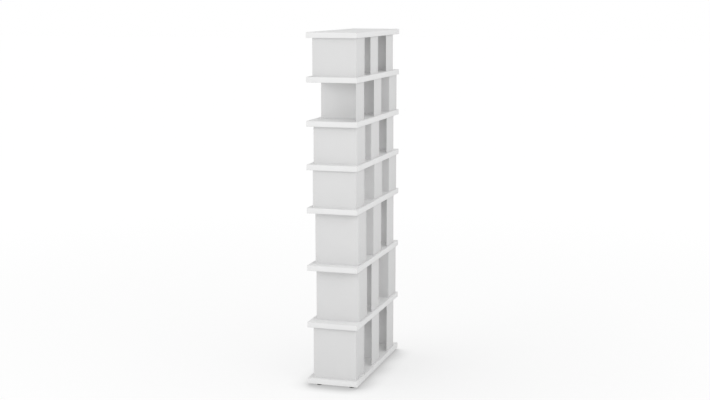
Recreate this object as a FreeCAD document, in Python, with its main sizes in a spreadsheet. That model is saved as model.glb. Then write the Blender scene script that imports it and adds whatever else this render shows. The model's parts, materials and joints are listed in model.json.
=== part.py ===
# Tower bookshelf: thick boards stacked on folded sheet uprights, standing on four levelling feet.
# Lengths are in millimetres. X runs along the boards, Y from the open front to the rear, Z up.
# The origin lies on the floor, under the middle of the boards.

import FreeCAD, Part
import math
import os
import Sketcher

doc = FreeCAD.newDocument("TowerBookshelf")

# Driving dimensions
sizes = {
    # Boards, all of one size
    "board_length": 900,
    "board_depth": 300,
    "board_thickness": 32,
    "board_edge_chamfer": 1,
    # Clear heights between the boards: large books below, small books above
    "tall_clear": 302,
    "short_clear": 216,
    # Uprights: a web across the shelf and a strip along its rear, folded from one sheet
    "sheet_thickness": 2,
    "bend_radius": 3,
    "strip_width": 162,
    "rear_inset": 12,
    "front_inset": 30,
    "end_inset": 12,
    # Grooves in the boards that hold the edges of the uprights
    "groove_depth": 10,
    "groove_gap": 0.3,
    # Levelling feet: a pad that swivels on a threaded stem, in a sleeve let into the base board
    "foot_height": 10,
    "foot_end_inset": 30,
    "foot_rear_inset": 40,
    "foot_front_inset": 64,
    "pad_radius": 16,
    "pad_height": 6,
    "pad_socket_depth": 4,
    "pad_socket_gap": 0.08,
    "stem_radius": 4,
    "stem_across_flats": 13,
    "thread_gap": 0.08,
    "sleeve_radius": 6,
    "sleeve_length": 16,
    "sleeve_gap": 0.05,
    "sleeve_hole_spare": 2,
}

sheet = doc.addObject("Spreadsheet::Sheet", "Sizes")
for row, (alias, number) in enumerate(sizes.items(), start=1):
    sheet.set(f"A{row}", alias)
    sheet.set(f"B{row}", str(number))
    sheet.setAlias(f"B{row}", alias)
doc.recompute()

# Uprights of each level from the floor up, and on each level from right to left seen from the front:
# the end of its strip where the web stands, and the share of its free run along the board.
web_at_right = 1
web_at_left = -1
level_place_shares = [
    [(web_at_right, 0.017), (web_at_left, 0.465), (web_at_left, 0.933)],
    [(web_at_right, 0.095), (web_at_left, 0.454), (web_at_right, 0.996)],
    [(web_at_right, 0.074), (web_at_right, 0.520), (web_at_left, 0.922)],
    [(web_at_right, 0.014), (web_at_right, 0.543), (web_at_right, 1.000)],
    [(web_at_right, 0.038), (web_at_right, 0.447), (web_at_left, 0.907)],
    [(web_at_left, 0.008), (web_at_left, 0.515), (web_at_right, 0.998)],
    [(web_at_right, 0.017), (web_at_left, 0.410), (web_at_left, 0.878)],
]
place_names = ["right", "middle", "left"]
tall_level_count = 3
level_count = len(level_place_shares)

# Places that several pieces share, as expressions on the sheet
strip_rear_face = "Sizes.board_depth / 2 - Sizes.rear_inset"
web_depth = "(Sizes.board_depth - Sizes.rear_inset - Sizes.front_inset)"
free_run = "(Sizes.board_length - 2 * Sizes.end_inset - Sizes.strip_width)"
foot_far_x = "Sizes.board_length / 2 - Sizes.foot_end_inset"
foot_places = {
    "front_right": (f"{foot_far_x}", "Sizes.foot_front_inset - Sizes.board_depth / 2"),
    "front_left": (f"-({foot_far_x})", "Sizes.foot_front_inset - Sizes.board_depth / 2"),
    "rear_right": (f"{foot_far_x}", "Sizes.board_depth / 2 - Sizes.foot_rear_inset"),
    "rear_left": (f"-({foot_far_x})", "Sizes.board_depth / 2 - Sizes.foot_rear_inset"),
}


def size_of(expression):
    return float(sheet.evalExpression(expression))


def board_underside(index):
    # Height of the underside of a board, counted from the base board as 0.
    tall_below = min(index, tall_level_count)
    short_below = index - tall_below
    return (f"Sizes.foot_height + {index} * Sizes.board_thickness"
            f" + {tall_below} * Sizes.tall_clear + {short_below} * Sizes.short_clear")


def clear_height(level):
    return "Sizes.tall_clear" if level < tall_level_count else "Sizes.short_clear"


def bend_corner_x(web_side, run_share):
    # Where the outer faces of the strip and the web would meet, along the board.
    strip_right_end = f"Sizes.board_length / 2 - Sizes.end_inset - {run_share} * {free_run}"
    return strip_right_end if web_side == web_at_right else f"{strip_right_end} - Sizes.strip_width"


# Sketch helpers, with the numbers that a sketch gives to the points of a curve and to its origin
start = 1
end = start + 1
centre = end + 1
origin = (-1, start)


def add_sketch(body, name, plane_role, plane_height=None):
    sketch = body.newObject("Sketcher::SketchObject", name)
    plane = next(item for item in body.Origin.OriginFeatures if item.Role == plane_role)
    sketch.AttachmentSupport = [(plane, "")]
    sketch.MapMode = "FlatFace"
    if plane_height:
        sketch.setExpression("AttachmentOffset.Base.z", plane_height)
    return sketch


def add_dimension(sketch, name, kind, geometry, expression):
    index = sketch.addConstraint(Sketcher.Constraint(kind, *geometry, size_of(expression)))
    sketch.renameConstraint(index, name)
    sketch.setExpression(f"Constraints.{name}", expression)


def add_line(sketch, first, last):
    return sketch.addGeometry(Part.LineSegment(FreeCAD.Vector(*first), FreeCAD.Vector(*last)))


def add_quarter_arc(sketch, middle, radius, first_angle):
    circle = Part.Circle(FreeCAD.Vector(*middle), FreeCAD.Vector(0, 0, 1), radius)
    return sketch.addGeometry(Part.ArcOfCircle(circle, first_angle, first_angle + math.pi / 2))


def add_circle(sketch, name, radius, across="0", along="0"):
    middle = FreeCAD.Vector(size_of(across), size_of(along), 0)
    circle = sketch.addGeometry(Part.Circle(middle, FreeCAD.Vector(0, 0, 1), size_of(radius)))
    add_dimension(sketch, f"{name}_across", "DistanceX", (*origin, circle, centre), across)
    add_dimension(sketch, f"{name}_along", "DistanceY", (*origin, circle, centre), along)
    add_dimension(sketch, f"{name}_radius", "Radius", (circle,), radius)


def add_outline(sketch, corners):
    # Closed outline of straight lines, each corner given as two expressions.
    points = [(size_of(across), size_of(along)) for across, along in corners]
    lines = [add_line(sketch, point, points[(number + 1) % len(points)])
             for number, point in enumerate(points)]
    for number, line in enumerate(lines):
        across, along = corners[number]
        sketch.addConstraint(Sketcher.Constraint("Coincident", lines[number - 1], end, line, start))
        add_dimension(sketch, f"across_{number}", "DistanceX", (*origin, line, start), across)
        add_dimension(sketch, f"along_{number}", "DistanceY", (*origin, line, start), along)


def add_fold(sketch, tag, corner_x, corner_y, web_side, gap):
    # Outline of a folded sheet from above: the strip along X, the bend, and the web along Y to the front.
    # A gap widens the outline evenly, for the groove that the sheet stands in.
    faces = {
        "strip_outer": f"{corner_y} + {gap}",
        "strip_inner": f"{corner_y} - Sizes.sheet_thickness - {gap}",
        "strip_end": f"{corner_x} - {web_side} * (Sizes.strip_width + {gap})",
        "web_outer": f"{corner_x} + {web_side} * {gap}",
        "web_inner": f"{corner_x} - {web_side} * (Sizes.sheet_thickness + {gap})",
        "web_end": f"{corner_y} - {web_depth} - {gap}",
        "outer_bend": f"Sizes.bend_radius + Sizes.sheet_thickness + {gap}",
        "inner_bend": f"Sizes.bend_radius - {gap}",
    }
    at = {face: size_of(expression) for face, expression in faces.items()}
    outer_x = at["web_outer"] - web_side * at["outer_bend"]
    outer_y = at["strip_outer"] - at["outer_bend"]
    inner_x = at["web_inner"] - web_side * at["inner_bend"]
    inner_y = at["strip_inner"] - at["inner_bend"]
    first_angle = 0 if web_side == web_at_right else math.pi / 2
    web_point, strip_point = (start, end) if web_side == web_at_right else (end, start)

    strip_outer = add_line(sketch, (at["strip_end"], at["strip_outer"]), (outer_x, at["strip_outer"]))
    outer_bend = add_quarter_arc(sketch, (outer_x, outer_y), at["outer_bend"], first_angle)
    web_outer = add_line(sketch, (at["web_outer"], outer_y), (at["web_outer"], at["web_end"]))
    web_end = add_line(sketch, (at["web_outer"], at["web_end"]), (at["web_inner"], at["web_end"]))
    web_inner = add_line(sketch, (at["web_inner"], at["web_end"]), (at["web_inner"], inner_y))
    inner_bend = add_quarter_arc(sketch, (inner_x, inner_y), at["inner_bend"], first_angle)
    strip_inner = add_line(sketch, (inner_x, at["strip_inner"]), (at["strip_end"], at["strip_inner"]))
    strip_end = add_line(sketch, (at["strip_end"], at["strip_inner"]), (at["strip_end"], at["strip_outer"]))

    sketch.addConstraint([
        Sketcher.Constraint("Tangent", strip_outer, end, outer_bend, strip_point),
        Sketcher.Constraint("Tangent", outer_bend, web_point, web_outer, start),
        Sketcher.Constraint("Coincident", web_outer, end, web_end, start),
        Sketcher.Constraint("Coincident", web_end, end, web_inner, start),
        Sketcher.Constraint("Tangent", web_inner, end, inner_bend, web_point),
        Sketcher.Constraint("Tangent", inner_bend, strip_point, strip_inner, start),
        Sketcher.Constraint("Coincident", strip_inner, end, strip_end, start),
        Sketcher.Constraint("Coincident", strip_end, end, strip_outer, start),
        Sketcher.Constraint("Horizontal", strip_outer),
        Sketcher.Constraint("Horizontal", strip_inner),
        Sketcher.Constraint("Horizontal", web_end),
        Sketcher.Constraint("Vertical", web_outer),
        Sketcher.Constraint("Vertical", web_inner),
        Sketcher.Constraint("Vertical", strip_end),
    ])
    dimensions = [
        ("strip_outer", "DistanceY", (*origin, strip_outer, start)),
        ("strip_inner", "DistanceY", (*origin, strip_inner, end)),
        ("strip_end", "DistanceX", (*origin, strip_end, start)),
        ("web_outer", "DistanceX", (*origin, web_outer, end)),
        ("web_inner", "DistanceX", (*origin, web_inner, start)),
        ("web_end", "DistanceY", (*origin, web_end, start)),
        ("outer_bend", "Radius", (outer_bend,)),
        ("inner_bend", "Radius", (inner_bend,)),
    ]
    for face, kind, geometry in dimensions:
        add_dimension(sketch, f"{tag}_{face}", kind, geometry, faces[face])


# Feature helpers
def add_pad(body, sketch, name, length):
    pad = body.newObject("PartDesign::Pad", name)
    pad.Profile = sketch
    pad.setExpression("Length", length)
    doc.recompute()
    return pad


def cut_pocket(body, sketch, name, depth, upwards=False):
    before = body.Shape.Volume
    pocket = body.newObject("PartDesign::Pocket", name)
    pocket.Profile = sketch
    pocket.Reversed = upwards
    pocket.setExpression("Length", depth)
    doc.recompute()
    if pocket.Shape.Volume >= before:
        raise RuntimeError(f"{name} cuts nothing")


def add_disc(body, name, radius, bottom, height):
    circle = add_sketch(body, f"{name}_circle", "XY_Plane", bottom)
    add_circle(circle, "disc", radius)
    add_pad(body, circle, name, height)


# Boards: one slab with broken edges, grooved where uprights stand on it and hang under it
def make_board(name, index):
    body = doc.addObject("PartDesign::Body", name)
    outline = add_sketch(body, f"{name}_outline", "XY_Plane")
    half_length = "Sizes.board_length / 2"
    half_depth = "Sizes.board_depth / 2"
    add_outline(outline, [
        (f"-{half_length}", f"-{half_depth}"),
        (half_length, f"-{half_depth}"),
        (half_length, half_depth),
        (f"-{half_length}", half_depth),
    ])
    slab = add_pad(body, outline, f"{name}_slab", "Sizes.board_thickness")
    broken = body.newObject("PartDesign::Chamfer", f"{name}_broken_edges")
    broken.Base = (slab, [f"Edge{number}" for number in range(1, len(slab.Shape.Edges) + 1)])
    broken.setExpression("Size", "Sizes.board_edge_chamfer")
    doc.recompute()

    if index < level_count:
        above = add_sketch(body, f"{name}_uprights_above", "XY_Plane", "Sizes.board_thickness")
        add_level_folds(above, index)
        cut_pocket(body, above, f"{name}_grooves_above", "Sizes.groove_depth")
    if index > 0:
        below = add_sketch(body, f"{name}_uprights_below", "XY_Plane")
        add_level_folds(below, index - 1)
        cut_pocket(body, below, f"{name}_grooves_below", "Sizes.groove_depth", upwards=True)
    body.setExpression("Placement.Base.z", board_underside(index))
    return body


def add_level_folds(sketch, level):
    for place, (web_side, run_share) in zip(place_names, level_place_shares[level]):
        corner_x = bend_corner_x(web_side, run_share)
        add_fold(sketch, place, corner_x, strip_rear_face, web_side, "Sizes.groove_gap")


def cut_sleeve_holes(body):
    holes = add_sketch(body, "base_board_sleeve_places", "XY_Plane")
    for place, (across, along) in foot_places.items():
        add_circle(holes, place, "Sizes.sleeve_radius + Sizes.sleeve_gap", across, along)
    depth = "Sizes.sleeve_length + Sizes.sleeve_hole_spare"
    cut_pocket(body, holes, "base_board_sleeve_holes", depth, upwards=True)


# Uprights: one folded sheet, used upside down where its web stands at the left
def make_upright(name, level, web_side, run_share):
    body = doc.addObject("PartDesign::Body", name)
    profile = add_sketch(body, f"{name}_profile", "XY_Plane")
    add_fold(profile, "sheet", "0", "0", web_at_right, "0")
    sheet_height = f"{clear_height(level)} + 2 * Sizes.groove_depth"
    add_pad(body, profile, f"{name}_folded", sheet_height)

    foot_of_sheet = f"{board_underside(level)} + Sizes.board_thickness - Sizes.groove_depth"
    upside_down = web_side == web_at_left
    if upside_down:
        body.Placement.Rotation = FreeCAD.Rotation(FreeCAD.Vector(0, 1, 0), 180)
    body.setExpression("Placement.Base.x", bend_corner_x(web_side, run_share))
    body.setExpression("Placement.Base.y", strip_rear_face)
    profile_height = f"{foot_of_sheet} + {sheet_height}" if upside_down else foot_of_sheet
    body.setExpression("Placement.Base.z", profile_height)
    return body


# Levelling feet
def make_foot_pad(name):
    body = doc.addObject("PartDesign::Body", name)
    add_disc(body, f"{name}_disc", "Sizes.pad_radius", "0", "Sizes.pad_height")
    socket = add_sketch(body, f"{name}_socket_circle", "XY_Plane", "Sizes.pad_height")
    add_circle(socket, "socket", "Sizes.stem_radius + Sizes.pad_socket_gap")
    cut_pocket(body, socket, f"{name}_socket", "Sizes.pad_socket_depth")
    return body


def make_foot_stem(name):
    # Round pin in the pad, hexagon for the spanner, then the threaded length.
    body = doc.addObject("PartDesign::Body", name)
    half_flats = "Sizes.stem_across_flats / 2"
    corner = "Sizes.stem_across_flats / sqrt(3)"
    hexagon = add_sketch(body, f"{name}_hexagon", "XY_Plane", "Sizes.pad_height")
    add_outline(hexagon, [
        (corner, "0"),
        (f"{corner} / 2", half_flats),
        (f"-{corner} / 2", half_flats),
        (f"-{corner}", "0"),
        (f"-{corner} / 2", f"-{half_flats}"),
        (f"{corner} / 2", f"-{half_flats}"),
    ])
    add_pad(body, hexagon, f"{name}_flange", "Sizes.foot_height - Sizes.pad_height")
    add_disc(body, f"{name}_thread", "Sizes.stem_radius", "Sizes.foot_height", "Sizes.sleeve_length")
    add_disc(body, f"{name}_pin", "Sizes.stem_radius", "Sizes.pad_height - Sizes.pad_socket_depth",
             "Sizes.pad_socket_depth")
    return body


def make_foot(place):
    foot = [make_foot_pad(f"foot_pad_{place}"), make_foot_stem(f"foot_stem_{place}")]
    across, along = foot_places[place]
    for body in foot:
        body.setExpression("Placement.Base.x", across)
        body.setExpression("Placement.Base.y", along)
    return foot


def make_foot_sleeves(name):
    # Four tubes in one piece group, one over each foot.
    body = doc.addObject("PartDesign::Body", name)
    body.AllowCompound = True
    rings = add_sketch(body, f"{name}_rings", "XY_Plane", "Sizes.foot_height")
    for place, (across, along) in foot_places.items():
        add_circle(rings, f"{place}_outside", "Sizes.sleeve_radius", across, along)
        add_circle(rings, f"{place}_bore", "Sizes.stem_radius + Sizes.thread_gap", across, along)
    add_pad(body, rings, f"{name}_tubes", "Sizes.sleeve_length")
    return body


# Assembly, from the floor up
board_names = ["base_board"] + [f"shelf_board_{number}" for number in range(1, level_count)] + ["top_board"]
pieces = []
for index, name in enumerate(board_names):
    pieces.append(make_board(name, index))
cut_sleeve_holes(pieces[0])
for level, places in enumerate(level_place_shares):
    for place, (web_side, run_share) in zip(place_names, places):
        pieces.append(make_upright(f"upright_{level + 1}_{place}", level, web_side, run_share))
for place in foot_places:
    pieces.extend(make_foot(place))
pieces.append(make_foot_sleeves("foot_sleeves"))
doc.recompute()

for item in doc.Objects:
    if "Invalid" in item.State or "Error" in item.State:
        raise RuntimeError(f"{item.Label} did not build: {item.State}")
for body in pieces:
    if body.Shape.isNull() or not body.Shape.isValid():
        raise RuntimeError(f"{body.Label} has no valid shape")

os.makedirs("parts", exist_ok=True)
for body in pieces:
    body.Shape.exportStep(f"parts/{body.Label}.step")
    print(body.Label, len(body.Shape.Solids), round(body.Shape.Volume))
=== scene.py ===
import bmesh
import bpy
import json
import math
from mathutils import Matrix, Vector


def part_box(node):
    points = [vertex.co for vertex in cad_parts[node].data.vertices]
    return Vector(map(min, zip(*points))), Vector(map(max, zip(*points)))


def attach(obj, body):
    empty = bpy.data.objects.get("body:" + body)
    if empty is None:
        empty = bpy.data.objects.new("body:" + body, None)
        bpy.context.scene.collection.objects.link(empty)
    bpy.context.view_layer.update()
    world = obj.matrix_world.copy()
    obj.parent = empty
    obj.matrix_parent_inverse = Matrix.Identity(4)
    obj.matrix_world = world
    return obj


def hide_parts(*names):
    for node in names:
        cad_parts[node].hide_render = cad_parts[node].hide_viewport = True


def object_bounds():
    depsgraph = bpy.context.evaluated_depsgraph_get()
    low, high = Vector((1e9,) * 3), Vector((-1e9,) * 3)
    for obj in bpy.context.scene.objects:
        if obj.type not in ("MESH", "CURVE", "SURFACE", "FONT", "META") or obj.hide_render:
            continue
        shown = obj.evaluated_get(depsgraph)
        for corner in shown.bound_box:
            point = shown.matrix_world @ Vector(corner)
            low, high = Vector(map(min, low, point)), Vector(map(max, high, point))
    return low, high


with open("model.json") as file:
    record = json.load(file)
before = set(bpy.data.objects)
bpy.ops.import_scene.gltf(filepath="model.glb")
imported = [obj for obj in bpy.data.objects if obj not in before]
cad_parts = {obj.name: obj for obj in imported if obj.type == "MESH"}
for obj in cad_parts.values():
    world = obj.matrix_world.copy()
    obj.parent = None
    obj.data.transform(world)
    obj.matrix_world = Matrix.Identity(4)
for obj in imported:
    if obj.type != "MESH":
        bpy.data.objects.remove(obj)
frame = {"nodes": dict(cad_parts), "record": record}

cadBox = [list(corner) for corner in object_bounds()]
scene = bpy.context.scene
scene.view_settings.view_transform = "Standard"

bodies = frame["record"]["behaviour"]["bodies"]
bodyOf = {node: body for body, nodes in bodies.items() for node in nodes}
boardNodes = sorted(node for node in frame["nodes"] if "board" in node)
uprightNodes = sorted(node for node in frame["nodes"] if node.startswith("upright"))
padStart = "foot_pad_"
feet = sorted(node.removeprefix(padStart) for node in frame["nodes"] if node.startswith(padStart))


# a shader socket that reads as a number in sums
class Wire:
    def __init__(self, graph, socket):
        self.graph = graph
        self.socket = socket

    def math(self, operation, *values):
        return self.graph.add("ShaderNodeMath", {"operation": operation}, dict(enumerate(values)))

    def __add__(self, other):
        return self.math("ADD", self, other)

    def __radd__(self, other):
        return self.math("ADD", other, self)

    def __sub__(self, other):
        return self.math("SUBTRACT", self, other)

    def __rsub__(self, other):
        return self.math("SUBTRACT", other, self)

    def __mul__(self, other):
        return self.math("MULTIPLY", self, other)

    def __rmul__(self, other):
        return self.math("MULTIPLY", other, self)

    def __abs__(self):
        return self.math("ABSOLUTE", self)

    def least(self, other):
        return self.math("MINIMUM", self, other)

    def most(self, other):
        return self.math("MAXIMUM", self, other)

    # a noise from 0 to 1, moved to swing about 0
    def swing(self):
        return self - 0.5


# the nodes of one material, or of the world
class Graph:
    def __init__(self, owner):
        self.owner = owner
        owner.use_nodes = True
        self.tree = owner.node_tree
        self.tree.nodes.clear()

    # settings come before values, because some of them change the sockets
    def add(self, kind, settings=None, values=None, out=0):
        node = self.tree.nodes.new(kind)
        for name, value in (settings or {}).items():
            setattr(node, name, value)
        for name, value in (values or {}).items():
            if isinstance(value, Wire):
                self.tree.links.new(value.socket, node.inputs[name])
            else:
                node.inputs[name].default_value = value
        if isinstance(out, tuple):
            return [Wire(self, node.outputs[name]) for name in out]
        return Wire(self, node.outputs[out]) if node.outputs else None


def grey(level):
    return (level, level, level, 1.0)


# cloudy noise from 0 to 1, with patches of about this size
def noise(graph, place, size, octaves):
    return graph.add("ShaderNodeTexNoise", None, {"Vector": place, "Scale": 1 / size, "Detail": octaves})


# distance to the nearest of many scattered points, as a share of their spacing
def scatter(graph, place, spacing):
    return graph.add("ShaderNodeTexVoronoi", None, {"Vector": place, "Scale": 1 / spacing}, out="Distance")


# value that falls from 1 to 0 as a wire goes from start to end
def fade(graph, wire, start, end):
    return graph.add("ShaderNodeMapRange", {"interpolation_type": "SMOOTHSTEP"}, {
        "Value": wire, "From Min": start, "From Max": end, "To Min": 1.0, "To Max": 0.0})


# last nodes of a finish: relief, shader and output
def mixFinish(paint, look, height, depth):
    relief = paint.add("ShaderNodeBump", None, {"Strength": 1.0, "Distance": depth, "Height": height})
    shader = paint.add("ShaderNodeBsdfPrincipled", None, {"Normal": relief, **look})
    paint.add("ShaderNodeOutputMaterial", None, {"Surface": shader})
    return paint.owner


# white lacquer of the boards: faint clouds and strokes, stipple, dust nibs, arrises rubbed by hands
lacquer = {
    "white": 0.833, "roughness": 0.56, "specular": 0.3,
    "cloudSize": 0.22, "cloudOctaves": 4.0, "cloudTone": 0.036,
    "strokeSize": 0.06, "strokeStretch": 0.15, "strokeOctaves": 3.0, "strokeTone": 0.03, "strokeRough": 0.12,
    "stippleSize": 0.0028, "stippleOctaves": 1.0, "stippleTone": 0.05, "stippleDepth": 0.00025,
    "nibSpacing": 0.045, "nibRadius": 0.0005,
    "arrisWidth": 0.004, "arrisTone": 0.06, "arrisGloss": 0.12,
}

def makeLacquer():
    paint = Graph(bpy.data.materials.new("board_lacquer"))
    place = paint.add("ShaderNodeTexCoord", out="Object")
    along = paint.add("ShaderNodeMapping", None, {
        "Vector": place, "Scale": (lacquer["strokeStretch"], 1.0, 1.0)})
    clouds = noise(paint, place, lacquer["cloudSize"], lacquer["cloudOctaves"]).swing()
    strokes = noise(paint, along, lacquer["strokeSize"], lacquer["strokeOctaves"]).swing()
    stipple = noise(paint, place, lacquer["stippleSize"], lacquer["stippleOctaves"]).swing()
    toNib = scatter(paint, place, lacquer["nibSpacing"])
    nibs = fade(paint, toNib, 0.0, lacquer["nibRadius"] / lacquer["nibSpacing"])
    low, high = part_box("base_board")
    half = (high - low) / 2      # the same for all boards
    x, y = paint.add("ShaderNodeSeparateXYZ", None, {"Vector": place}, out=("X", "Y"))
    rise = paint.add("ShaderNodeAttribute", {"attribute_name": "rise"}, out="Fac")
    inX = half.x - abs(x)
    inY = half.y - abs(y)
    inZ = half.z - abs(rise)
    toArris = inX.least(inY).most(inX.most(inY).least(inZ))      # the middle one of the three distances
    rubbed = fade(paint, toArris + lacquer["arrisWidth"] * strokes, 0.0, lacquer["arrisWidth"])
    tone = (lacquer["white"] + lacquer["cloudTone"] * clouds + lacquer["strokeTone"] * strokes
            + lacquer["stippleTone"] * stipple - lacquer["arrisTone"] * rubbed)
    rough = lacquer["roughness"] + lacquer["strokeRough"] * strokes - lacquer["arrisGloss"] * rubbed
    look = {"Base Color": tone, "Roughness": rough, "Specular IOR Level": lacquer["specular"]}
    return mixFinish(paint, look, stipple + nibs, lacquer["stippleDepth"])


# light grey powder coat of the folded sheet: faint clouds, fine grain, lighter specks, thin at the free edges
coat = {
    "grey": 0.725, "roughness": 0.62, "specular": 0.3,
    "cloudSize": 0.16, "cloudOctaves": 4.0, "cloudTone": 0.03, "cloudRough": 0.06,
    "grainSize": 0.0011, "grainOctaves": 2.0, "grainTone": 0.08, "grainRough": 0.12, "grainDepth": 0.00016,
    "speckSpacing": 0.0035, "speckCore": 0.000175, "speckEdge": 0.00056, "speckTone": 0.05,
    "rimWidth": 0.0016, "rimTone": 0.14, "rimGloss": 0.12,
}

def makeCoat():
    paint = Graph(bpy.data.materials.new("upright_coat"))
    place = paint.add("ShaderNodeTexCoord", out="Object")
    clouds = noise(paint, place, coat["cloudSize"], coat["cloudOctaves"]).swing()
    grain = noise(paint, place, coat["grainSize"], coat["grainOctaves"]).swing()
    spacing = coat["speckSpacing"]
    toSpeck = scatter(paint, place, spacing)
    specks = fade(paint, toSpeck, coat["speckCore"] / spacing, coat["speckEdge"] / spacing)
    rim = paint.add("ShaderNodeAttribute", {"attribute_name": "rim"}, out="Fac")
    thin = fade(paint, rim + coat["rimWidth"] * grain, 0.0, coat["rimWidth"])
    tone = (coat["grey"] + coat["cloudTone"] * clouds + coat["grainTone"] * grain
            + coat["speckTone"] * specks - coat["rimTone"] * thin)
    rough = (coat["roughness"] + coat["grainRough"] * grain + coat["cloudRough"] * clouds
             - coat["rimGloss"] * thin)
    look = {"Base Color": tone, "Roughness": rough, "Specular IOR Level": coat["specular"]}
    return mixFinish(paint, look, grain, coat["grainDepth"])


# black moulded plastic of the foot pads: mottle, moulded grain, grey scuffs round the sole
plastic = {
    "black": 0.022, "roughness": 0.48,
    "mottleSize": 0.004, "mottleOctaves": 5.0, "mottleTone": 0.012, "mottleRough": 0.16,
    "grainSize": 0.0006, "grainDepth": 0.00004,
    "scuffHeight": 0.0018, "scuffFrom": 0.48, "scuffFull": 0.62, "scuffTone": 0.07, "scuffRough": 0.2,
}

def makePlastic():
    paint = Graph(bpy.data.materials.new("foot_plastic"))
    place = paint.add("ShaderNodeTexCoord", out="Object")
    mottle = noise(paint, place, plastic["mottleSize"], plastic["mottleOctaves"])
    grain = scatter(paint, place, plastic["grainSize"])
    height = paint.add("ShaderNodeSeparateXYZ", None, {"Vector": place}, out="Z")
    patches = 1 - fade(paint, mottle, plastic["scuffFrom"], plastic["scuffFull"])
    scuffs = fade(paint, height, 0.0, plastic["scuffHeight"]) * patches
    tone = plastic["black"] + plastic["mottleTone"] * mottle.swing() + plastic["scuffTone"] * scuffs
    rough = plastic["roughness"] + plastic["mottleRough"] * mottle.swing() + plastic["scuffRough"] * scuffs
    look = {"Base Color": tone, "Roughness": rough}
    return mixFinish(paint, look, grain + scuffs * mottle, plastic["grainDepth"])


# metals of the levelling feet, both with blotches and turning marks
turned = {"blotchOctaves": 5.0, "markOctaves": 1.0, "markStretch": 0.02, "markRough": 0.08}
stemZinc = {
    "name": "stem_zinc", "dark": (0.50, 0.51, 0.53, 1.0), "light": (0.71, 0.71, 0.70, 1.0),
    "roughness": 0.30, "blotchSize": 0.003, "blotchRough": 0.22, "markPitch": 0.00025, "markDepth": 0.000006,
}
sleeveBrass = {
    "name": "sleeve_brass", "dark": (0.50, 0.36, 0.15, 1.0), "light": (0.78, 0.61, 0.31, 1.0),
    "roughness": 0.32, "blotchSize": 0.004, "blotchRough": 0.20, "markPitch": 0.0004, "markDepth": 0.00001,
}

def makeMetal(metal):
    paint = Graph(bpy.data.materials.new(metal["name"]))
    place = paint.add("ShaderNodeTexCoord", out="Object")
    around = paint.add("ShaderNodeMapping", None, {
        "Vector": place, "Scale": (turned["markStretch"], turned["markStretch"], 1.0)})
    blotches = noise(paint, place, metal["blotchSize"], turned["blotchOctaves"])
    marks = noise(paint, around, metal["markPitch"], turned["markOctaves"])
    tone = paint.add("ShaderNodeMix", {"data_type": "RGBA"}, {
        "Factor": blotches, "A": metal["dark"], "B": metal["light"]}, out="Result")
    rough = metal["roughness"] + metal["blotchRough"] * blotches.swing() + turned["markRough"] * marks.swing()
    look = {"Base Color": tone, "Metallic": 1.0, "Roughness": rough}
    return mixFinish(paint, look, marks, metal["markDepth"])


boardFinish = makeLacquer()
uprightFinish = makeCoat()
padFinish = makePlastic()
stemFinish = makeMetal(stemZinc)
sleeveFinish = makeMetal(sleeveBrass)
print("finishes mixed")


# flats are square to an axis to within this cosine, and edges sharper than the crease, in degrees, stay sharp
shading = {"flat": 0.9999, "crease": 29.0}

# a shape becomes a mesh: flats along the axes are shaded flat, rounds smooth
def meshOf(shape, name):
    for face in shape.faces:
        face.smooth = max(abs(part) for part in face.normal) < shading["flat"]
    mesh = bpy.data.meshes.new(name)
    shape.to_mesh(mesh)
    shape.free()
    mesh.set_sharp_from_angle(angle=math.radians(shading["crease"]))
    return mesh


def shapeOf(*meshes):
    shape = bmesh.new()
    for mesh in meshes:
        shape.from_mesh(mesh)
    return shape


# what is left of one mesh when another is taken from it, or the part inside both
def carve(mesh, tool, operation):
    block, cutter = [bpy.data.objects.new(part.name, part) for part in (mesh, tool)]
    for part in (block, cutter):
        scene.collection.objects.link(part)
    cut = block.modifiers.new("carve", "BOOLEAN")
    cut.object = cutter
    cut.operation = operation
    cut.solver = "EXACT"
    carved = bpy.data.meshes.new_from_object(block.evaluated_get(bpy.context.evaluated_depsgraph_get()))
    for part in (block, cutter):
        bpy.data.objects.remove(part)
    return carved


def roundEdges(shape, edges, radius, steps):
    bmesh.ops.bevel(shape, geom=edges, offset=radius, offset_type="OFFSET", affect="EDGES",
                    segments=steps, profile=0.5, material=-1)


# a finished mesh stands for a CAD node and moves with that node's body
def standFor(node, suffix, shape, finish):
    piece = bpy.data.objects.new(f"{node}_{suffix}", meshOf(shape, f"{node}_{suffix}"))
    piece.data.materials.append(finish)
    scene.collection.objects.link(piece)
    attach(piece, bodyOf[node])
    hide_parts(node)


def vertsIn(geometry):
    return [item for item in geometry if isinstance(item, bmesh.types.BMVert)]


def edgesIn(geometry):
    return [item for item in geometry if isinstance(item, bmesh.types.BMEdge)]


# uprights: one sheet bent once, a strip along the rear and a web across the shelf
sheet = {
    "thickness": 0.002, "innerBend": 0.003, "bendSteps": 10,
    "rimAngle": 60.0, "edgeRound": 0.0005, "edgeSteps": 2,
}

# the end of the strip where the web stands: 1 is the right one
def webSide(node):
    low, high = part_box(node)
    front = min((vertex.co for vertex in frame["nodes"][node].data.vertices), key=lambda spot: spot.y)
    return 1 if front.x > (low.x + high.x) / 2 else -1


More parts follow.
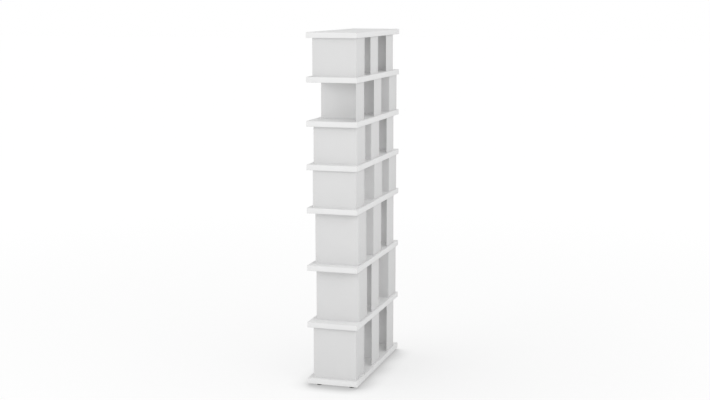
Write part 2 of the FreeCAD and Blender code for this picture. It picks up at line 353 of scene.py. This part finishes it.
# the bent sheet of one upright, grown by the gap on all sides but its ends
def foldSheet(node, gap=0.0):
    low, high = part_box(node)
    side = webSide(node)
    margin = Vector((gap, gap, 0))
    low, high = low - margin, high + margin
    bend = sheet["innerBend"] + sheet["thickness"] + gap
    webX, endX = (high.x, low.x) if side > 0 else (low.x, high.x)
    shape = bmesh.new()
    webFront = shape.verts.new((webX, low.y, low.z))
    webRear = bmesh.ops.extrude_vert_indiv(shape, verts=[webFront])["verts"]
    bmesh.ops.translate(shape, verts=webRear, vec=(0, high.y - bend - low.y, 0))
    bent = bmesh.ops.spin(shape, geom=webRear, cent=(webX - side * bend, high.y - bend, low.z),
                          axis=(0, 0, 1), angle=side * math.pi / 2, steps=sheet["bendSteps"])["geom_last"]
    stripEnd = bmesh.ops.extrude_vert_indiv(shape, verts=vertsIn(bent))["verts"]
    bmesh.ops.translate(shape, verts=stripEnd, vec=(endX - webX + side * bend, 0, 0))
    raised = bmesh.ops.extrude_edge_only(shape, edges=shape.edges[:])["geom"]
    bmesh.ops.translate(shape, verts=vertsIn(raised), vec=(0, 0, high.z - low.z))
    bmesh.ops.recalc_face_normals(shape, faces=shape.faces)
    bmesh.ops.solidify(shape, geom=shape.faces[:], thickness=sheet["thickness"] + 2 * gap)
    return shape


def makeUpright(node):
    shape = foldSheet(node)
    rimAngle = math.radians(sheet["rimAngle"])
    roundEdges(shape, [edge for edge in shape.edges if edge.calc_face_angle() > rimAngle],
               sheet["edgeRound"], sheet["edgeSteps"])
    low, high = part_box(node)
    stripEnd = low.x if webSide(node) > 0 else high.x
    bendStart = high.y - sheet["innerBend"] - sheet["thickness"]
    rim = shape.verts.layers.float.new("rim")      # how far a point is from the sheet's free edge
    for vertex in shape.verts:
        vertex[rim] = vertex.co.y - low.y if vertex.co.y < bendStart else abs(vertex.co.x - stripEnd)
    standFor(node, "folded", shape, uprightFinish)


for node in uprightNodes:
    makeUpright(node)
print("uprights folded:", len(uprightNodes))


# boards: slabs with softened arrises, grooved for the uprights above and below
board = {
    "edgeRound": 0.0015, "edgeSteps": 4, "grooveGap": 0.0003,
    "holeRadius": 0.00605, "holeSpare": 0.002, "holeSteps": 48,
}

# whether two nodes share some height
def meets(node, other):
    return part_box(node)[0].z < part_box(other)[1].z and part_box(other)[0].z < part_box(node)[1].z


# blind holes of the base board, which take the sleeves of the feet
def sleeveHoles():
    low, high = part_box("foot_sleeves")
    depth = high.z - low.z + board["holeSpare"]
    holes = bmesh.new()
    for foot in feet:
        middle = sum(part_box(padStart + foot), Vector()) / 2
        bmesh.ops.create_cone(holes, cap_ends=True, segments=board["holeSteps"], radius1=board["holeRadius"],
                              radius2=board["holeRadius"], depth=2 * depth,
                              matrix=Matrix.Translation((middle.x, middle.y, low.z)))
    return holes


def makeBoard(node):
    low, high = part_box(node)
    middle = (low + high) / 2
    slab = bmesh.new()
    bmesh.ops.create_cube(slab, size=1)
    bmesh.ops.scale(slab, vec=high - low, verts=slab.verts)
    bmesh.ops.translate(slab, vec=middle, verts=slab.verts)
    roundEdges(slab, slab.edges[:], board["edgeRound"], board["edgeSteps"])
    tools = [meshOf(foldSheet(upright, board["grooveGap"]), "groove")
             for upright in uprightNodes if meets(node, upright)]
    if node == "base_board":
        tools.append(meshOf(sleeveHoles(), "sleeve_holes"))
    shape = shapeOf(carve(meshOf(slab, "slab"), meshOf(shapeOf(*tools), "grooves"), "DIFFERENCE"))
    rise = shape.verts.layers.float.new("rise")      # height above the middle of the board
    for vertex in shape.verts:
        vertex[rise] = vertex.co.z - middle.z
    standFor(node, "lacquered", shape, boardFinish)


for node in boardNodes:
    makeBoard(node)
print("boards grooved:", len(boardNodes))


# run of joined points, each a radius and a height
def drawRun(shape, points):
    run = [shape.verts.new((radius, 0, height)) for radius, height in points]
    for first, second in zip(run, run[1:]):
        shape.edges.new((first, second))


# turned shape about the z axis
lathe = {"weld": 0.000001}

def turn(points, steps):
    shape = bmesh.new()
    drawRun(shape, points)
    bmesh.ops.spin(shape, geom=shape.verts[:] + shape.edges[:], cent=(0, 0, 0), axis=(0, 0, 1),
                   angle=2 * math.pi, steps=steps, use_merge=True)
    bmesh.ops.remove_doubles(shape, verts=shape.verts, dist=lathe["weld"])
    bmesh.ops.recalc_face_normals(shape, faces=shape.faces)
    return shape


# foot pads: hollow sole, fluted rim, raised seat for the hexagon and a socket for the pin
pad = {
    "soleRise": 0.0008, "soleSlope": 0.0015, "soleWidth": 0.0030,
    "rimIn": 0.0015, "rimRise": 0.0012, "rimTop": 0.0040, "crownIn": 0.0010, "crownTop": 0.0048,
    "seat": 0.0084, "socket": 0.00408, "socketDepth": 0.004, "mouth": 0.0004, "steps": 72,
    "cornerAngle": 23.0, "edgeRound": 0.0003, "edgeSteps": 2,
    "wallLean": 0.01, "wallShare": 0.9, "fluteSide": 0.0003, "fluteDepth": 0.0005,
}

def makePad(foot):
    node = padStart + foot
    low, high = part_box(node)
    radius = (high.x - low.x) / 2
    top = high.z - low.z
    socketFloor = top - pad["socketDepth"]
    soleOuter = radius - pad["rimIn"]
    soleInner = soleOuter - pad["soleWidth"]
    shape = turn([
        (0, pad["soleRise"]), (soleInner - pad["soleSlope"], pad["soleRise"]), (soleInner, 0), (soleOuter, 0),
        (radius, pad["rimRise"]), (radius, pad["rimTop"]), (radius - pad["crownIn"], pad["crownTop"]),
        (pad["seat"] + pad["mouth"], top - pad["mouth"]), (pad["seat"], top),
        (pad["socket"] + pad["mouth"], top), (pad["socket"], top - pad["mouth"]),
        (pad["socket"], socketFloor), (0, socketFloor)], pad["steps"])
    cornerAngle = math.radians(pad["cornerAngle"])
    roundEdges(shape, [edge for edge in shape.edges if edge.calc_face_angle(0) > cornerAngle],
               pad["edgeRound"], pad["edgeSteps"])
    wall = [face for face in shape.faces if abs(face.normal.z) < pad["wallLean"]
            and face.calc_center_median().xy.length > radius * pad["wallShare"]]
    wall.sort(key=lambda face: math.atan2(face.calc_center_median().y, face.calc_center_median().x))
    bmesh.ops.inset_individual(shape, faces=wall[::2], thickness=pad["fluteSide"], depth=-pad["fluteDepth"])
    bmesh.ops.translate(shape, verts=shape.verts, vec=((low.x + high.x) / 2, (low.y + high.y) / 2, low.z))
    standFor(node, "moulded", shape, padFinish)


# stems: round pin in the pad, chamfered hexagon for the spanner, rolled thread above it
stem = {
    "radius": 0.004, "steps": 48, "overlap": 0.001,
    "pinHeight": 0.004, "pinChamfer": 0.0004,
    "hexHeight": 0.004, "acrossFlats": 0.013, "hexFace": 0.0063, "hexSlope": 30.0,
    "root": 0.00324, "pitch": 0.00125, "crestShare": 0.125, "rootShare": 0.25,
    "turnSteps": 32, "spareTurns": 2, "weld": 0.000004,
}

# the thread's ridge is spun well past both ends, then cut square there and capped
def rollThread(bottom, top):
    shape = bmesh.new()
    pitch = stem["pitch"]
    start = bottom - stem["spareTurns"] * pitch
    rootFlat = stem["rootShare"] * pitch
    flank = (pitch - rootFlat - stem["crestShare"] * pitch) / 2
    drawRun(shape, [(stem["root"], start), (stem["root"], start + rootFlat),
                    (stem["radius"], start + rootFlat + flank), (stem["radius"], start + pitch - flank),
                    (stem["root"], start + pitch)])
    turns = math.ceil((top - bottom) / pitch) + stem["spareTurns"]
    bmesh.ops.spin(shape, geom=shape.verts[:] + shape.edges[:], cent=(0, 0, 0), axis=(0, 0, 1),
                   angle=2 * math.pi * turns, steps=turns * stem["turnSteps"],
                   dvec=(0, 0, pitch / stem["turnSteps"]))
    bmesh.ops.remove_doubles(shape, verts=shape.verts, dist=stem["weld"])
    for height, keepAbove in ((bottom, True), (top, False)):
        cut = bmesh.ops.bisect_plane(shape, geom=shape.verts[:] + shape.edges[:] + shape.faces[:],
                                     plane_co=(0, 0, height), plane_no=(0, 0, 1), dist=stem["weld"],
                                     clear_inner=keepAbove, clear_outer=not keepAbove)["geom_cut"]
        bmesh.ops.contextual_create(shape, geom=edgesIn(cut))
    bmesh.ops.recalc_face_normals(shape, faces=shape.faces)
    return shape


# a six-sided prism and the cone that takes its corners off, which runs past both of its faces
def makeHexagon(bottom):
    corner = stem["acrossFlats"] / math.sqrt(3)
    top = bottom + stem["hexHeight"]
    prism = bmesh.new()
    bmesh.ops.create_cone(prism, cap_ends=True, segments=6, radius1=corner, radius2=corner,
                          depth=stem["hexHeight"],
                          matrix=Matrix.Translation((0, 0, (bottom + top) / 2))
                          @ Matrix.Rotation(math.pi / 2, 4, "Z"))
    slope = math.tan(math.radians(stem["hexSlope"]))
    spare = stem["overlap"]
    wide = corner + spare
    narrow = stem["hexFace"] - spare / slope
    rise = (wide - stem["hexFace"]) * slope
    chamfer = turn([(0, bottom - spare), (narrow, bottom - spare), (wide, bottom + rise),
                    (wide, top - rise), (narrow, top + spare), (0, top + spare)], stem["steps"])
    halfStep = Matrix.Rotation(math.pi / stem["steps"], 3, "Z")      # no edge of the cone meets a corner
    bmesh.ops.rotate(chamfer, cent=(0, 0, 0), matrix=halfStep, verts=chamfer.verts)
    return carve(meshOf(prism, "hexagon"), meshOf(chamfer, "chamfer"), "INTERSECT")


def makeStem(foot):
    node = f"foot_stem_{foot}"
    low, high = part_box(node)
    radius = stem["radius"]
    hexBottom = low.z + stem["pinHeight"]
    pinTop = hexBottom + stem["overlap"]
    pin = turn([(0, low.z), (radius - stem["pinChamfer"], low.z), (radius, low.z + stem["pinChamfer"]),
                (radius, pinTop), (0, pinTop)], stem["steps"])
    thread = rollThread(hexBottom + stem["hexHeight"] - stem["overlap"], high.z)
    shape = shapeOf(meshOf(pin, "pin"), makeHexagon(hexBottom), meshOf(thread, "thread"))
    bmesh.ops.translate(shape, verts=shape.verts, vec=((low.x + high.x) / 2, (low.y + high.y) / 2, 0))
    standFor(node, "threaded", shape, stemFinish)


for foot in feet:
    makePad(foot)
    makeStem(foot)
frame["nodes"]["foot_sleeves"].material_slots[0].material = sleeveFinish
print("feet made:", len(feet))


# rays that show the stage as the eye sees it: straight, mirrored or through glass
def seenRays(graph):
    straight, mirrored, through = graph.add(
        "ShaderNodeLightPath", out=("Is Camera Ray", "Is Glossy Ray", "Is Transmission Ray"))
    return straight.most(mirrored).most(through)


# floor that goes to white round the object, with the object's shade painted into its seen colour from ambient
# occlusion
floorPlan = {
    "half": 60.0, "albedo": 0.90, "seenAlbedo": 0.12,
    "lift": 0.880, "farLift": 0.92, "liftFrom": 1.0, "liftTo": 7.0,
    "contactReach": 0.12, "contactLean": (-0.8, -0.1, 1.0), "contactDepth": 0.75, "contactLeast": 0.65,
    "wideReach": 2.4, "wideLean": (0.0, -0.4, 1.0), "wideDepth": 0.23,
}

# share of the sky that is clear of the object, on the side that the lean points to
def openness(graph, reach, lean):
    towards = graph.add("ShaderNodeCombineXYZ", None, dict(enumerate(Vector(lean).normalized())))
    return graph.add("ShaderNodeAmbientOcclusion", None, {"Distance": reach, "Normal": towards}, out="AO")


def makeFloor():
    paint = Graph(bpy.data.materials.new("floor_white"))
    place = paint.add("ShaderNodeTexCoord", out="Object")
    away = paint.add("ShaderNodeVectorMath", {"operation": "LENGTH"}, {0: place}, out="Value")
    nearness = fade(paint, away, floorPlan["liftFrom"], floorPlan["liftTo"])
    lift = floorPlan["farLift"] - (floorPlan["farLift"] - floorPlan["lift"]) * nearness
    contact = openness(paint, floorPlan["contactReach"], floorPlan["contactLean"])
    wide = openness(paint, floorPlan["wideReach"], floorPlan["wideLean"])
    # painted shade: ambient occlusion darkens the colour and glow that the eye sees on the floor near the
    # object
    touching = (1 - floorPlan["contactDepth"] * (1 - contact)).most(floorPlan["contactLeast"])
    shade = touching * (1 - floorPlan["wideDepth"] * (1 - wide))
    matt = paint.add("ShaderNodeBsdfDiffuse", None, {"Color": grey(floorPlan["albedo"])})
    seen = paint.add("ShaderNodeBsdfPrincipled", None, {
        "Base Color": floorPlan["seenAlbedo"] * shade, "Roughness": 1.0, "Specular IOR Level": 0.0,
        "Emission Color": lift * shade, "Emission Strength": 1.0})
    both = paint.add("ShaderNodeMixShader", None, {0: seenRays(paint), 1: matt, 2: seen})
    paint.add("ShaderNodeOutputMaterial", None, {"Surface": both})
    ground = bmesh.new()
    bmesh.ops.create_grid(ground, x_segments=1, y_segments=1, size=floorPlan["half"])
    floor = bpy.data.objects.new("floor", meshOf(ground, "floor"))
    floor.data.materials.append(paint.owner)
    scene.collection.objects.link(floor)


makeFloor()


# even white surround, which looks whiter than it shines
surround = {"light": 0.69, "seen": 1.0}

def makeSurround():
    sky = Graph(bpy.data.worlds.new("surround"))
    light = sky.add("ShaderNodeBackground", None, {"Color": grey(1.0), "Strength": surround["light"]})
    seen = sky.add("ShaderNodeBackground", None, {"Color": grey(1.0), "Strength": surround["seen"]})
    both = sky.add("ShaderNodeMixShader", None, {0: seenRays(sky), 1: light, 2: seen})
    sky.add("ShaderNodeOutputWorld", None, {"Surface": both})
    scene.world = sky.owner


makeSurround()


# soft boxes, turned in degrees from the open front towards the right end and raised from level
softBoxes = {
    "end_soft_box": {"turn": 60.0, "raise": 15.0, "distance": 6.0, "size": 3.0, "power": 76.0},
    "rear_soft_box": {"turn": 145.0, "raise": 25.0, "distance": 6.0, "size": 3.0, "power": 54.0},
    "high_soft_box": {"turn": 180.0, "raise": 35.0, "distance": 3.0, "size": 1.5, "power": 7.0},
}

def makeSoftBox(name, box):
    lamp = bpy.data.lights.new(name, "AREA")
    lamp.shape = "SQUARE"
    lamp.size = box["size"]
    lamp.energy = box["power"]
    holder = bpy.data.objects.new(name, lamp)
    scene.collection.objects.link(holder)
    swing = math.radians(box["turn"])
    lift = math.radians(box["raise"])
    holder.rotation_euler = (math.pi / 2 - lift, 0, swing)
    aim = Vector((0, 0, (cadBox[0][2] + cadBox[1][2]) / 2))
    holder.location = aim + box["distance"] * Vector((
        math.sin(swing) * math.cos(lift), -math.cos(swing) * math.cos(lift), math.sin(lift)))
    holder.visible_camera = False


for name, box in softBoxes.items():
    makeSoftBox(name, box)


# camera of the photograph, tilted down instead of shifted
photoCamera = {"place": (7.2461, 2.1972, 2.2256), "heading": 106.861, "pitch": 8.989, "lens": 64.85}

def makeCamera():
    lens = bpy.data.cameras.new("photo_camera")
    lens.lens = photoCamera["lens"]
    holder = bpy.data.objects.new("photo_camera", lens)
    scene.collection.objects.link(holder)
    holder.location = photoCamera["place"]
    holder.rotation_euler = (math.radians(90 - photoCamera["pitch"]), 0, math.radians(photoCamera["heading"]))
    scene.camera = holder


makeCamera()
print("floor, light and camera set")
